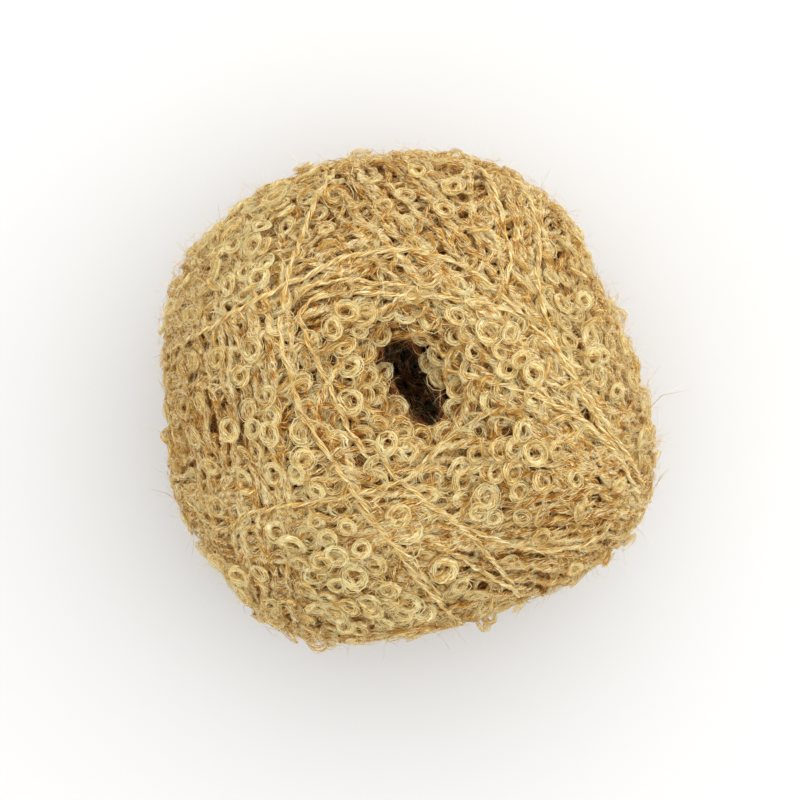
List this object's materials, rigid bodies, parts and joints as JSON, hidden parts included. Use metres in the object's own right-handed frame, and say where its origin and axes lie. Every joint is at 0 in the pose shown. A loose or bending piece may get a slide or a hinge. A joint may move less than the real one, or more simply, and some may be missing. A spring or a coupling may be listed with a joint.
{
  "type": "ball of boucle mohair yarn",
  "caption": "Round wound ball of looped boucle mohair yarn, flattened a little where it rests, with a narrow slanted hole through its middle left by the winding spindle.",
  "frame": {"origin": "under the middle of the ball's box, at the level of the table it rests on", "axes": "+Z up along the winding axis and out of the hole's upper end; +Y is up in the picture and +X is to its right"},
  "size_m": [0.0948, 0.0924, 0.0767],
  "materials": {
    "yarn": "fuzzy looped mohair, golden beige, matt with a soft silky sheen"
  },
  "bodies": {
    "root": {"wound_ball": "yarn"}
  },
  "joints": []
}
